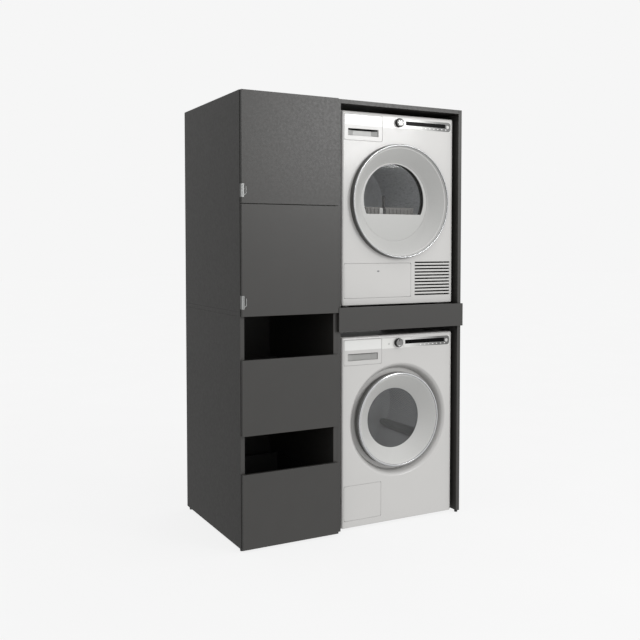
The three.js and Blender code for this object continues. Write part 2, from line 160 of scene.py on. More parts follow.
def rolled(outline, front, back, edge, hole=False):
    """The wall of a plate, or of a hole in it, as (outline, y) rows from its round front edge to its back.
    edge is the rounding in the plane and, if it is a pair, the rounding in depth."""
    across, deep = edge if isinstance(edge, tuple) else (edge, edge)
    side = 1 if hole else -1
    rows = []
    for step in range(EDGE_STEPS + 1):
        turn = step / EDGE_STEPS * math.pi / 2
        rows.append((outline(side * across * (1 - math.sin(turn))), front + deep * (1 - math.cos(turn))))
    return [*rows, (outline(0), back)]


def walls(bm, rows, axis="y"):
    """Rings from (outline, level) rows, joined by faces."""
    rings = [ring(bm, outline, level, axis) for outline, level in rows]
    skin(bm, rings)
    return rings


def plate(bm, outer, holes=(), axis="y"):
    """A plate from the rows of its outer wall and of the walls of its holes."""
    sides = [walls(bm, rows, axis) for rows in (outer, *holes)]
    fill(bm, *[side[0] for side in sides])
    fill(bm, *[side[-1] for side in sides])


def turned(bm, centre, profile, closed=True, count=ROUND):
    """A turned solid from (radius, level) points. One that isn't closed is capped at its two ends."""
    rows = [(circle(centre, radius, count), level) for radius, level in profile]
    if closed:
        rings = walls(bm, rows)
        skin(bm, [rings[-1], rings[0]])
    else:
        plate(bm, rows)


def brick(bm, xs, ys, zs, edge):
    """A block with round vertical corners and chamfered ends."""
    outline = rect_outline(xs, ys, edge)
    levels = ((-edge, zs[0]), (0, zs[0] + edge), (0, zs[1] - edge), (-edge, zs[1]))
    plate(bm, [(outline(grow), z) for grow, z in levels], axis="z")


def tub(bm, xs, ys, zs, wall, radius):
    """An open-topped box with round corners."""
    outer = rect_outline(xs, ys, radius)
    levels = ((-wall, zs[0]), (0, zs[0] + wall), (0, zs[1]), (-wall, zs[1]), (-wall, zs[0] + 2 * wall),
              (-2 * wall, zs[0] + wall))
    plate(bm, [(outer(grow), z) for grow, z in levels], axis="z")


def add_object(name, data):
    added = bpy.data.objects.new(name, data)
    bpy.context.scene.collection.objects.link(added)
    return added


def piece(name, bm, look, body=CABINET, stands_for=(), slot=None, sharp=40):
    """Turns a bmesh into a shown piece that rides on a body. The slot argument is not used."""
    bmesh.ops.remove_doubles(bm, verts=bm.verts, dist=0.002 * MM)
    bmesh.ops.recalc_face_normals(bm, faces=bm.faces)
    mesh = bpy.data.meshes.new(name)
    bm.to_mesh(mesh)
    bm.free()
    mesh.polygons.foreach_set("use_smooth", [True] * len(mesh.polygons))
    mesh.set_sharp_from_angle(angle=math.radians(sharp))
    mesh.materials.append(LOOKS[look])
    shown = add_object(name, mesh)
    normals = shown.modifiers.new("face_weighted_normals", "WEIGHTED_NORMAL")
    normals.keep_sharp = True
    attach(shown, body)
    if stands_for:
        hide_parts(*stands_for)


def plate_piece(name, outer, *args, holes=(), **rest):
    """A plate as a piece. What follows its outer wall is what piece takes, from the look on."""
    bm = bmesh.new()
    plate(bm, outer, holes)
    piece(name, bm, *args, **rest)


def brick_piece(name, blocks, edge, *args, **rest):
    """Blocks with the same edges as one piece."""
    bm = bmesh.new()
    for block in blocks:
        brick(bm, *block, edge)
    piece(name, bm, *args, **rest)


def turned_piece(name, centre, profile, *args, count=ROUND, sharp=60, **rest):
    """A closed turned solid as a piece."""
    bm = bmesh.new()
    turned(bm, centre, profile, count=count)
    piece(name, bm, *args, sharp=sharp, **rest)


def from_mm(profile, level, soft, closed=True):
    """A softened profile from millimetres: radius, depth behind a level, and a rounding where it has its own."""
    points = [(p[0] * MM, level + p[1] * MM, *[value * MM for value in p[2:]]) for p in profile]
    return softened(points, soft * MM, closed)


# ---------------- materials
def srgb(*values):
    """A colour from 0-255 screen values."""
    levels = [value / 255 for value in values]
    linear = [level / 12.92 if level <= 0.04045 else ((level + 0.055) / 1.055) ** 2.4 for level in levels]
    return (*linear, 1.0)


def shade(color, factor):
    return (*[channel * factor for channel in color[:3]], 1.0)


LOOKS = {}  # every material by its name


class Look:
    """A material, kept in LOOKS, with short ways to add texture nodes to its shader."""

    def __init__(self, name, color, roughness, sockets=None):
        self.material = bpy.data.materials.new(name)
        self.material.use_nodes = True
        self.tree = self.material.node_tree
        self.shader = self.tree.nodes["Principled BSDF"]
        values = {"Base Color": color, "Roughness": roughness, **(sockets or {})}
        for socket, value in values.items():
            self.shader.inputs[socket].default_value = value
        self.place = self.tree.nodes.new("ShaderNodeTexCoord").outputs["Object"]
        self.tint = color
        LOOKS[name] = self.material

    def link(self, source, target):
        self.tree.links.new(source, target)

    def math(self, operation, first, second=0.0):
        node = self.tree.nodes.new("ShaderNodeMath")
        node.operation = operation
        for socket, value in zip(node.inputs, (first, second)):
            if isinstance(value, (int, float)):
                socket.default_value = value
            else:
                self.link(value, socket)
        return node.outputs[0]

    def noise(self, size, stretch=(1, 1, 1), detail=3.0):
        """Noise whose grains are about size across, longer where stretch is over 1."""
        mapping = self.tree.nodes.new("ShaderNodeMapping")
        mapping.inputs["Scale"].default_value = [1 / (size * factor) for factor in stretch]
        self.link(self.place, mapping.inputs["Vector"])
        noise = self.tree.nodes.new("ShaderNodeTexNoise")
        noise.inputs["Scale"].default_value = 1.0
        noise.inputs["Detail"].default_value = detail
        self.link(mapping.outputs["Vector"], noise.inputs["Vector"])
        return noise.outputs["Fac"]

    def ramp(self, value, source, target):
        """value carried from the source range to the target range, and held at its ends."""
        node = self.tree.nodes.new("ShaderNodeMapRange")
        for socket, number in zip(node.inputs[1:5], (*source, *target)):
            socket.default_value = number
        self.link(value, node.inputs["Value"])
        return node.outputs["Result"]

    def along(self, axis):
        """The place along an axis, in metres."""
        node = self.tree.nodes.new("ShaderNodeSeparateXYZ")
        self.link(self.place, node.inputs[0])
        return node.outputs[axis]

    def color(self, fac, low, high):
        node = self.tree.nodes.new("ShaderNodeMix")
        node.data_type = "RGBA"
        node.inputs[6].default_value = low
        node.inputs[7].default_value = high
        self.link(fac, node.inputs[0])
        self.link(node.outputs[2], self.shader.inputs["Base Color"])

    def mottle(self, grain, darker, lighter, source=(0.3, 0.7)):
        """Varies the look's own colour by noise."""
        fac = self.ramp(grain, source, (0, 1))
        self.color(fac, shade(self.tint, darker), shade(self.tint, lighter))

    def roughness(self, fac, low, high):
        self.link(self.ramp(fac, (0.3, 0.7), (low, high)), self.shader.inputs["Roughness"])

    def bump(self, height, depth, strength=1.0):
        node = self.tree.nodes.new("ShaderNodeBump")
        node.inputs["Distance"].default_value = depth
        node.inputs["Strength"].default_value = strength
        self.link(height, node.inputs["Height"])
        self.link(node.outputs["Normal"], self.shader.inputs["Normal"])

    def from_centre(self, centre):
        """How far to the right of a centre and above it."""
        return [self.math("SUBTRACT", self.along(axis), value) for axis, value in zip("XZ", centre)]

    def length(self, a, b):
        return self.math("SQRT", self.math("ADD", self.math("MULTIPLY", a, a), self.math("MULTIPLY", b, b)))


def board_look(name, color, roughness):
    """Melamine-faced board: a fine pressed pore, with small changes of colour and gloss."""
    look = Look(name, color, roughness, {"Specular IOR Level": 0.5})
    look.mottle(look.noise(0.09, detail=4), 0.97, 1.03)
    look.roughness(look.noise(0.012), roughness - 0.04, roughness + 0.04)
    look.bump(look.noise(0.0011, detail=2), 0.04 * MM, 0.5)


def enamel_look(name, color, roughness, peel=0.02):
    """Paint on sheet steel, with a faint orange peel."""
    look = Look(name, color, roughness, {"Coat Weight": 0.25, "Coat Roughness": 0.12})
    look.mottle(look.noise(0.2), 0.985, 1.01)
    look.roughness(look.noise(0.03), roughness - 0.03, roughness + 0.03)
    look.bump(look.noise(0.0035, detail=2), peel * MM, 0.4)


def plastic_look(name, color, roughness, grain=0.0009, sockets=None):
    """Moulded plastic with a fine grain."""
    look = Look(name, color, roughness, sockets)
    look.mottle(look.noise(0.04), 0.95, 1.05)
    look.roughness(look.noise(0.01), roughness - 0.03, roughness + 0.05)
    look.bump(look.noise(grain, detail=2), 0.02 * MM, 0.5)


def metal_look(name, color, roughness, stretch=(1, 1, 1), metallic=1.0):
    """Metal with a drawn or brushed grain along the stretched axis."""
    look = Look(name, color, roughness, {"Metallic": metallic})
    look.mottle(look.noise(0.02), 0.93, 1.05)
    look.roughness(look.noise(0.0012, stretch), roughness * 0.75, roughness * 1.3)
    look.bump(look.noise(0.0008, stretch, detail=2), 0.01 * MM, 0.4)


def satin_look(name, color, roughness, metallic):
    """Metallic paint on the door rings: fine flakes under a soft gloss."""
    look = Look(name, color, roughness, {"Metallic": metallic, "Coat Weight": 0.15, "Coat Roughness": 0.2})
    look.mottle(look.noise(0.0007, detail=1), 0.96, 1.04, (0.35, 0.65))
    look.roughness(look.noise(0.02), roughness - 0.03, roughness + 0.03)


def spun_look(name, color, centre, pitch=0.5 * MM):
    """Metal turned on a lathe, with fine rings round its centre."""
    look = Look(name, color, 0.22, {"Metallic": 1.0})
    radius = look.length(*look.from_centre(centre))
    look.bump(look.math("SINE", look.math("MULTIPLY", radius, 2 * math.pi / pitch)), 0.03 * MM)
    look.roughness(look.noise(0.002), 0.2, 0.26)


def strip_look(name, ends, xs):
    """The control strip's metallic foil, which darkens from its left end to its right."""
    look = Look(name, ends[0], 0.3, {"Metallic": 0.15, "Coat Weight": 0.4, "Coat Roughness": 0.1})
    length = xs[1] - xs[0]
    across = look.ramp(look.along("X"), (xs[0] + 0.1 * length, xs[0] + 0.75 * length), (0, 1))
    look.color(across, *ends)
    look.roughness(look.noise(0.0008, (30, 1, 1)), 0.26, 0.34)


def glass_look(name, tint, cover):
    """Tinted glass, seen through as far as it doesn't cover what is behind it."""
    look = Look(name, tint, 0.03, {"Alpha": cover, "Specular IOR Level": 1.0})
    look.roughness(look.noise(0.05), 0.02, 0.05)


def drum_look(name, centre, radius, pitch=11 * MM):
    """Stainless drum steel with rows of round holes round its wall."""
    look = Look(name, DRUM_STEEL, 0.3, {"Metallic": 0.5})
    x, z = look.from_centre(centre)
    turns = round(2 * math.pi * radius / pitch)
    round_wall = look.math("MULTIPLY", look.math("ARCTAN2", z, x), turns / (2 * math.pi))
    row = look.math("DIVIDE", look.along("Y"), pitch * 0.87)
    shifted = look.math("ADD", round_wall, look.math("MULTIPLY", look.math("FLOOR", row), 0.5))
    u = look.math("SUBTRACT", look.math("FRACT", shifted), 0.5)
    v = look.math("SUBTRACT", look.math("FRACT", row), 0.5)
    on_wall = look.math("GREATER_THAN", look.length(x, z), radius - 12 * MM)
    hole = look.math("MULTIPLY", look.ramp(look.length(u, v), (0.2, 0.26), (1, 0)), on_wall)
    look.color(hole, DRUM_STEEL, srgb(12, 12, 12))
    look.bump(look.math("SUBTRACT", 1.0, hole), 0.4 * MM, 0.6)


DRUM_STEEL = srgb(196, 198, 200)
LOOK_TABLE = {  # what makes each look, its screen colour, and what else its maker takes
    "graphite_laminate": (board_look, (49, 48, 46), 0.42),
    "dark_board": (board_look, (30, 30, 29), 0.55),
    "black_plastic": (plastic_look, (24, 24, 24), 0.5),
    "chrome": (metal_look, (214, 215, 216), 0.12),
    "rim_chrome": (metal_look, (186, 187, 188), 0.2),
    "zinc_plate": (metal_look, (168, 170, 172), 0.38, (1, 12, 1)),
    "white_enamel": (enamel_look, (188, 187, 185), 0.34),
    "white_plastic": (plastic_look, (210, 210, 208), 0.4),
    "label_gloss": (enamel_look, (214, 214, 212), 0.1, 0.004),
    "fascia_gloss": (enamel_look, (212, 212, 209), 0.08, 0.004),
    "silver_trim": (satin_look, (184, 184, 182), 0.4, 0.08),
    "pull_metal": (metal_look, (150, 151, 150), 0.42),
    # a dark copy of the silver trim: painted shade on the dryer door's side, which faces away from the light
    "door_side": (metal_look, (104, 104, 103), 0.3),
    # a dark grey copy of the silver trim: painted shade on the washer door's back, deep in the moat
    "door_back": (plastic_look, (88, 88, 86), 0.5),
    # a darker copy of the silver trim: painted shade on the disc at the bottom of the dryer door's dish
    "disc_silver": (satin_look, (168, 168, 166), 0.4, 0.08),
    # a darker copy of the silver trim: painted shade inside the drawer's finger scoop
    "grip_silver": (satin_look, (150, 150, 148), 0.4, 0.1),
    "dark_chrome": (metal_look, (40, 40, 40), 0.3),
    # black plastic made near-black and sheenless: painted shade in the air slots, the drawer scoop's top and the
    # dryer window's sleeve
    "vent_black": (plastic_look, (6, 6, 6), 0.9, 0.002, {"Specular IOR Level": 0.1}),
    "display": (plastic_look, (3, 3, 4), 0.2, 0.004, {"Specular IOR Level": 0.05}),
    "key_mark": (plastic_look, (236, 236, 234), 0.35),
    "smoked_glass": (glass_look, (62, 61, 58), 0.24),
    "clear_glass": (glass_look, (70, 72, 71), 0.12),
    "grey_rubber": (plastic_look, (86, 88, 88), 0.7, 0.002),
    "motor_casting": (metal_look, (126, 128, 130), 0.5),
    "filter_grey": (plastic_look, (120, 119, 116), 0.45),
    "grey_plastic": (plastic_look, (120, 121, 121), 0.45),
}
for look_name, (make, screen_color, *others) in LOOK_TABLE.items():
    make(look_name, srgb(*screen_color), *others)


# ---------------- CAD nodes that keep their shape
EDGES = {  # the rounding of a CAD solid's edges in millimetres, by slot
    "graphite_laminate": 0.5, "dark_board": 0.5, "white_enamel": 1.2, "zinc_plate": 0.3, "motor_casting": 1.5,
}


def dress_cad_nodes():
    """Gives every CAD node its slot's material, and rounds the edges of its solid a little."""
    for part in frame["record"]["subparts"]:
        node = frame["nodes"][part["node"]]
        slot = part["material_slot"]
        while len(node.material_slots) < 1:
            node.data.materials.append(None)
        node.material_slots[0].link = "OBJECT"
        node.material_slots[0].material = LOOKS.get(slot, LOOKS["grey_plastic"])
        if slot in EDGES:
            weld = node.modifiers.new("weld", "WELD")
            weld.merge_threshold = 0.01 * MM
            bevel = node.modifiers.new("edge", "BEVEL")
            bevel.width = EDGES[slot] * MM
            bevel.segments = 2
            bevel.limit_method = "ANGLE"
            bevel.angle_limit = math.radians(40)


# ---------------- machines
CORNER = 9 * MM  # round corners of a machine's front
FRONT_ROLL = (15 * MM, 9.6 * MM)  # the front panel rolls into the casing, across and deep
BOTTOM_ROLL = 0.25  # how much of that roll its bottom edge has
LEFT_ROLL, TOP_ROLL = 0.6, 0.75  # and its left and top, where it ends before the drawer and the cover begin
SLIT = 0.8 * MM  # gap round drawers, covers and buttons
LABEL_Z = (67 * MM, 111.5 * MM)  # the white label panel, from the drawer's bottom
GRIP = SimpleNamespace(  # the finger scoop from the drawer's corner, and the height of the near-black block under its upper edge, painted shade in the top of the scoop
    x=(19 * MM, 174 * MM), z=(20 * MM, 51 * MM), deep=12 * MM, slope=30 * MM,
    slot={"washer": 2.5 * MM, "dryer": 6.5 * MM},
)
DISPLAY = SimpleNamespace(x=(11 * MM, 230 * MM), z=(15 * MM, 33 * MM))  # from the strip's corner
SYMBOL = (-54 * MM, -23 * MM)  # from the machine's middle and the strip's top
KEYS = SimpleNamespace(first=97 * MM, pitch=22.5 * MM, count=7, z=8 * MM)
KNOB_RIBS = 60
DRUM = {"washer": (168 * MM, 356 * MM), "dryer": (205 * MM, 466 * MM)}  # radius of the mouth, and depth


def machine_places(name, drawer, cover):
    """Where a machine's pieces are, from its CAD nodes."""
    xs, ys, zs = span(f"{name}_front_panel")
    port, _ = small_disc(f"{name}_door_frame")
    return SimpleNamespace(
        name=name, xs=xs, zs=zs, front=ys[0], back=ys[0] + 10 * MM, port=port, drawer=f"{name}_{drawer}",
        cover=f"{name}_{cover}",
    )


def small_disc(node):
    """The centre and radius of a round CAD node seen from the front."""
    xs, _, zs = span(node)
    return (middle(xs), middle(zs)), (xs[1] - xs[0]) / 2


def build_panel(machine, own_holes):
    """The front panel, with the holes that both machines have and the machine's own."""
    def edge(grow):
        across = (machine.xs[0] - grow * LEFT_ROLL, machine.xs[1] + grow)
        up = (machine.zs[0] - grow * BOTTOM_ROLL, machine.zs[1] + grow * TOP_ROLL)
        return rounded_rect(across, up, max(CORNER + grow, 4 * MM))

    name, levels = machine.name, (machine.front, machine.back)
    holes = []
    # The cover's opening has tighter corners than the flap, which swings into them.
    for node, radius in ((machine.drawer, 7 * MM), (machine.cover, 5 * MM)):
        xs, _, zs = span(node)
        outline = rect_outline(grown(xs, SLIT), grown(zs, SLIT), radius)
        holes.append(rolled(outline, *levels, 0.7 * MM, hole=True))
    for node, grow in (("knob", -14 * MM), ("start_button", SLIT)):
        centre, radius = small_disc(f"{name}_{node}")
        holes.append(rolled(circle_outline(centre, radius + grow, SMALL_ROUND), *levels, 0.3 * MM, hole=True))
    plate_piece(f"{name}_front", rolled(edge, *levels, FRONT_ROLL), "white_enamel", CABINET,
                [f"{name}_front_panel"], holes=holes + own_holes, sharp=50)


def build_drawer(machine):
    """The drawer: a front with a finger scoop and a white label panel, and a box behind it."""
    node = machine.drawer
    xs, ys, zs = span(node)
    front = machine.front
    back = front + 3 * MM
    grip_x, grip_z = moved(GRIP.x, xs[0]), moved(GRIP.z, zs[0])
    outline = rect_outline(grip_x, grip_z, 2 * MM)
    back_wall = rect_outline(grown(grip_x, -GRIP.slope), grown(grip_z, -1 * MM), 2 * MM)
    plate_piece(f"{node}_front", rolled(rect_outline(xs, zs, 7 * MM), front, back, 0.7 * MM), "white_enamel",
                node, [node], holes=[rolled(outline, front, back, 0.8 * MM, hole=True)], sharp=50)

    # The scoop's lining takes a darker copy of the silver trim: painted shade inside the recess.
    bm = bmesh.new()
    inside = walls(bm, [(outline(-0.3 * MM), front + 1.2 * MM), (outline(-0.3 * MM), front + 3 * MM),
                        (outline(-0.5 * MM), front + 4 * MM), (back_wall(0), front + GRIP.deep)])
    outside = walls(bm, [(outline(1 * MM), front + 1.2 * MM), (outline(2 * MM), front + 3 * MM),
                         (outline(2 * MM), front + GRIP.deep + 2 * MM)])
    skin(bm, [inside[0], outside[0]])
    fill(bm, inside[-1])
    fill(bm, outside[-1])
    piece(f"{node}_grip", bm, "grip_silver", node, slot="silver_trim", sharp=50)

    # A near-black block under the scoop's upper edge: painted shade where the top of the scoop lies in shadow.
    shade_z = (grip_z[1] - GRIP.slot[machine.name], grip_z[1] - 1 * MM)
    shadow = (grown(grip_x, -3 * MM), (front + 4 * MM, front + 11 * MM), shade_z)
    brick_piece(f"{node}_grip_slot", [shadow], 0.5 * MM, "vent_black", node, slot="black_plastic")
    label = rect_outline(grown(xs, -1.5 * MM), moved(LABEL_Z, zs[0]), 4 * MM)
    plate_piece(f"{node}_label_panel", rolled(label, front - 0.6 * MM, front + 0.4 * MM, 0.4 * MM),
                "label_gloss", node, slot="white_plastic")

    bm = bmesh.new()
    box = (grown(xs, -8 * MM), (front + GRIP.deep + 6 * MM, ys[1]), (zs[0] + 16 * MM, zs[1] - 8 * MM))
    tub(bm, *box, 2 * MM, 6 * MM)
    piece(f"{node}_box", bm, "white_plastic", node)
    return box


def build_controls(machine, strip_ends):
    """The control strip with its display and keys, the start button and the programme knob."""
    name, front = machine.name, machine.front
    strip = f"{name}_control_strip"
    xs, ys, zs = span(strip)
    centre, radius = small_disc(f"{name}_start_button")
    well = circle_outline(centre, radius + SLIT, SMALL_ROUND)
    strip_look(f"{name}_strip", strip_ends, xs)
    plate_piece(f"{name}_strip", rolled(rect_outline(xs, zs, 12 * MM), *ys, 0.6 * MM), f"{name}_strip",
                CABINET, [strip], "silver_trim", holes=[rolled(well, *ys, 0.3 * MM, hole=True)])

    drawer_x, _, _ = span(machine.drawer)
    knob_at, _ = small_disc(f"{name}_knob")
    fascia = rect_outline((drawer_x[1] + 1 * MM, xs[1] + 1.5 * MM), grown(zs, 2 * MM), 4 * MM)
    levels = (front - 0.6 * MM, front + 0.3 * MM)
    holes = [rolled(hole, *levels, 0.2 * MM, hole=True)
             for hole in (circle_outline(knob_at, 6 * MM, SMALL_ROUND), well)]
    plate_piece(f"{name}_fascia", rolled(fascia, *levels, 0.5 * MM), "fascia_gloss", holes=holes,
                slot="white_plastic")
    display = rect_outline(moved(DISPLAY.x, xs[0]), moved(DISPLAY.z, zs[0]), 1.5 * MM)
    plate_piece(f"{name}_display", rolled(display, ys[0] - 0.4 * MM, ys[0] + 0.2 * MM, 0.3 * MM), "display",
                slot="black_plastic")

    bm = bmesh.new()
    for index in range(KEYS.count):
        x, z = xs[0] + KEYS.first + index * KEYS.pitch, zs[0] + KEYS.z
        key = rect_outline(grown((x, x), 3.2 * MM), grown((z, z), 1.6 * MM), 1.5 * MM)
        plate(bm, rolled(key, ys[0] - 0.3 * MM, ys[0] + 0.2 * MM, 0.2 * MM))
    piece(f"{name}_key_marks", bm, "key_mark", slot="white_plastic")

    button = f"{name}_start_button"
    _, depth, _ = span(button)
    face = [(0.1 * MM, depth[0] + 0.5 * MM), (radius * 0.7, depth[0] + 0.4 * MM), (radius, depth[0]),
            (radius, depth[1])]
    bm = bmesh.new()
    turned(bm, centre, softened(face, 0.8 * MM, closed=False), closed=False, count=SMALL_ROUND)
    piece(f"{name}_start_key", bm, "silver_trim", button, [button], "chrome")

    bm = bmesh.new()
    symbol = (middle(machine.xs) + SYMBOL[0], zs[1] + SYMBOL[1])
    level = front - 0.6 * MM
    for sizes in ((4.2, 3.2), (1.6, 0.8)):
        disc, eye = [[(circle(symbol, size * MM, SMALL_ROUND), y) for y in (level - 0.1 * MM, level + 0.1 * MM)]
                     for size in sizes]
        plate(bm, disc, [eye])
    piece(f"{name}_symbol", bm, "grey_plastic", slot="grey_rubber")
    build_knob(machine)


def build_knob(machine):
    """The programme knob: a dark ribbed skirt and a bright cap with a pointer."""
    node = f"{machine.name}_knob"
    centre, radius = small_disc(node)
    _, ys, _ = span(node)
    front = ys[0]

    def ribbed(grow, deep):
        points = []
        for index in range(4 * KNOB_RIBS):
            turn = 2 * math.pi * index / (4 * KNOB_RIBS)
            reach = radius + grow - (deep if index % 4 in (1, 2) else 0)
            points.append(polar(centre, reach, turn))
        return points

    rows = [
        (ribbed(-3 * MM, 0), front + 1.5 * MM),
        (ribbed(-0.7 * MM, 0), front + 1.8 * MM),
        (ribbed(0, 0.35 * MM), front + 3 * MM),
        (ribbed(0, 0.35 * MM), machine.front - 1.2 * MM),
        (ribbed(-1 * MM, 0), machine.front - 0.8 * MM),
    ]
    plate_piece(f"{node}_skirt", rows, "dark_chrome", node, [node], "chrome")

    bm = bmesh.new()
    cap = [(0.1 * MM, front + 1.4 * MM), (radius * 0.6, front + 1.2 * MM), (radius - 4 * MM, front + 0.2 * MM),
           (radius - 2.6 * MM, front), (radius - 2 * MM, front + 2 * MM)]
    turned(bm, centre, softened(cap, 1 * MM, closed=False), closed=False, count=96)
    spun_look(f"{node}_cap", srgb(128, 128, 127), centre)
    piece(f"{node}_cap", bm, f"{node}_cap", node, slot="silver_trim")
    pointer_x, pointer_z = grown((centre[0], centre[0]), 0.7 * MM), moved((7 * MM, 15 * MM), centre[1])
    pointer = rolled(rect_outline(pointer_x, pointer_z, 0.6 * MM), front - 0.15 * MM, front + 0.3 * MM, 0.1 * MM)
    plate_piece(f"{node}_pointer", pointer, "dark_chrome", node, slot="chrome")


def build_cover(machine, mark):
    """The flap over the filter or condenser, and the push mark that one of them has."""
    node = machine.cover
    xs, ys, zs = span(node)
    plate_piece(f"{node}_flap", rolled(rect_outline(xs, zs, 7 * MM), *ys, 0.7 * MM), "white_enamel", node,
                [node], sharp=50)
    if mark:
        x, z = middle(xs), zs[1] - 35 * MM
        outline = rect_outline(grown((x, x), 6 * MM), grown((z, z), 3.5 * MM), 3 * MM)
        plate_piece(f"{node}_push_mark", rolled(outline, ys[0] - 0.3 * MM, ys[0] + 0.3 * MM, 0.2 * MM),
                    "grey_plastic", node, slot="silver_trim")


def build_drum(machine, look):
    """The drum: a wall, a dished back, and three lifters."""
    node = f"{machine.name}_drum"
    xs, ys, _ = span(node)
    radius = (xs[1] - xs[0]) / 2
    mouth, depth = DRUM[machine.name]
    front = ys[0]
    back = front + depth
    profile = [
        (14 * MM, ys[1]), (14 * MM, back + 6 * MM), (radius - 30 * MM, back), (radius, back - 8 * MM),
        (radius, front + 8 * MM), (radius - 8 * MM, front), (mouth, front), (mouth, front + 3 * MM),
        (radius - 10 * MM, front + 3 * MM), (radius - 2 * MM, front + 10 * MM), (radius - 2 * MM, back - 10 * MM),
        (radius - 32 * MM, back - 3 * MM), (radius * 0.55, back - 10 * MM), (60 * MM, back - 4 * MM),
        (0.5 * MM, back - 4 * MM),
    ]
    bm = bmesh.new()
    turned(bm, machine.port, softened(profile, 5 * MM, closed=False), closed=False)
    piece(f"{node}_shell", bm, look, node, [node], "drum_steel", sharp=60)

    bm = bmesh.new()
    # Where each row across a lifter is, and half its width and its height in millimetres.
    lifter = [(front + 20 * MM, 10, 4), (front + 32 * MM, 26, 40), (back - 16 * MM, 26, 40),
              (back - 4 * MM, 10, 4)]
    for index in range(3):
        turn = math.pi / 2 + index * 2 * math.pi / 3
        rows = []
        for level, half, tall in lifter:
            ridge = softened([(-half, 0), (-half * 0.35, tall), (half * 0.35, tall), (half, 0)], 6)
            points = []
            for side, height in ridge:
                reach = radius - 2.5 * MM - height * MM
                across = side * MM
                points.append((
                    machine.port[0] + reach * math.cos(turn) - across * math.sin(turn),
                    machine.port[1] + reach * math.sin(turn) + across * math.cos(turn),
                ))
            rows.append((points, level))
        plate(bm, rows)
    piece(f"{node}_lifters", bm, "motor_casting", node, slot="drum_steel")


# ---------------- washing machine
def build_washer():
    washer = machine_places("washer", "detergent_drawer", "filter_cover")
    front = washer.front
    moat = [(262, 0), (257, 1.5, 4), (248, 8, 10), (239, 22, 10), (234, 38, 4), (205, 38), (205, 40), (236, 40),
            (242, 24, 8), (264, 10)]
    rows = from_mm(moat, front, 2, closed=False)
    build_panel(washer, [[(circle(washer.port, radius), level) for radius, level in rows]])
    build_detergent_cups(washer, *build_drawer(washer))
    build_controls(washer, (srgb(206, 206, 204), srgb(88, 88, 87)))
    build_cover(washer, mark=False)
    build_washer_door(washer)
    gasket = [(206, 38.5), (206, 69.5), (186, 69.5), (178, 64), (172, 66), (170, 60), (177, 56), (186, 60),
              (197, 56), (197, 38.5)]
    turned_piece("washer_bellows", washer.port, from_mm(gasket, front, 3), "grey_rubber", CABINET,
                 ["washer_door_gasket"])
    drum_look("washer_drum_steel", washer.port, small_disc("washer_drum")[1])
    build_drum(washer, "washer_drum_steel")


def build_detergent_cups(machine, xs, ys, zs):
    """Two walls that part the detergent box into three cups, and the softener's siphon cap."""
    floor = zs[0] + 2 * MM
    length = xs[1] - xs[0]
    dividers = []
    for part, top in ((0.36, 8), (0.7, 14)):
        x = xs[0] + part * length
        dividers.append(((x - 1 * MM, x + 1 * MM), (ys[0] + 4 * MM, ys[1] - 3 * MM), (floor, zs[1] - top * MM)))
    brick_piece("washer_drawer_dividers", dividers, 0.4 * MM, "white_plastic", machine.drawer)
    bm = bmesh.new()
    cap_x = (xs[0] + 0.37 * length + 2 * MM, xs[0] + 0.69 * length - 2 * MM)
    outline = rect_outline(cap_x, (ys[0] + 120 * MM, ys[1] - 20 * MM), 8 * MM)
    plate(bm, [(outline(grow), floor + up * MM) for grow, up in ((0, 40), (0, 45), (-3 * MM, 47))], axis="z")
    piece("washer_siphon_cap", bm, "grey_plastic", machine.drawer, slot="grey_rubber")


def build_washer_door(machine):
    """The door: a satin ring that slopes in to a glass bowl, with a bright rim."""
    def part(name, look, profile, stands_for=(), slot=None, soft=1.5):
        profile = from_mm(profile, machine.front, soft)
        turned_piece(f"washer_door_{name}", machine.port, profile, look, "washer_door", stands_for, slot)

    part("ring", "silver_trim", [
        (207, -5), (204, -6.5), (200, -4, 4), (141, 44, 4), (138, 46), (138, 47), (150, 47), (202, 6), (207, -1),
    ], ["washer_door_frame"])
    part("rim", "rim_chrome", [
        (216, -4), (214, -7.6), (210.5, -9, 2), (206.6, -8), (206, -5.8), (209, -5.5), (212, -4), (213, 4),
        (216, 4),
    ], slot="chrome", soft=1)
    # The back takes a dark grey copy of the silver trim: painted shade on the ring's side deep in the moat.
    part("back", "door_back", [
        (215.6, 4.3), (215.6, 27), (213, 31, 2), (192, 31), (186, 49.6), (165.3, 49.6), (165.3, 47.3),
        (151, 47.3), (203, 6), (212, 4.3),
    ], slot="silver_trim")
    part("bowl", "clear_glass", [
        (0.5, 106), (45, 105.5, 20), (104, 94, 20), (122, 72, 12), (130, 52), (164, 52), (164, 50.5),
        (126, 50.5), (118, 70, 12), (100, 90, 20), (44, 101.5, 20), (0.5, 102),
    ], slot="smoked_glass", soft=2)
    part("pane", "smoked_glass", [(0.5, 47.5), (164, 47.5), (164, 50), (0.5, 50)], ["washer_door_glass"], soft=0.3)


# ---------------- tumble dryer
WINDOW = SimpleNamespace(radius=161 * MM, lift=11 * MM, chord=-55 * MM, corner=7 * MM)
FILTER_RIBS = 13
VENTS = SimpleNamespace(x=(86 * MM, 281 * MM), first=37.5 * MM, pitch=14.8 * MM, height=6.4 * MM, count=11)


def window_outline(centre):
    """The dryer window: a circle cut off flat below, with round corners."""
    def outline(grow):
        radius = WINDOW.radius + grow
        corner = max(WINDOW.corner + grow, 0.5 * MM)
        origin = (centre[0], centre[1] + WINDOW.lift)
        corner_b = WINDOW.chord - WINDOW.lift - grow + corner
        corner_a = math.sqrt((radius - corner) ** 2 - corner_b**2)
        tilt = math.atan2(corner_b, corner_a)
        left = (origin[0] - corner_a, origin[1] + corner_b)
        right = (origin[0] + corner_a, origin[1] + corner_b)
        return [*arc(origin, radius, tilt, math.pi - tilt, ROUND // 2),
                *arc(left, corner, math.pi - tilt, 1.5 * math.pi, CORNER_STEPS),
                *arc(right, corner, -math.pi / 2, tilt, CORNER_STEPS)]

    return outline


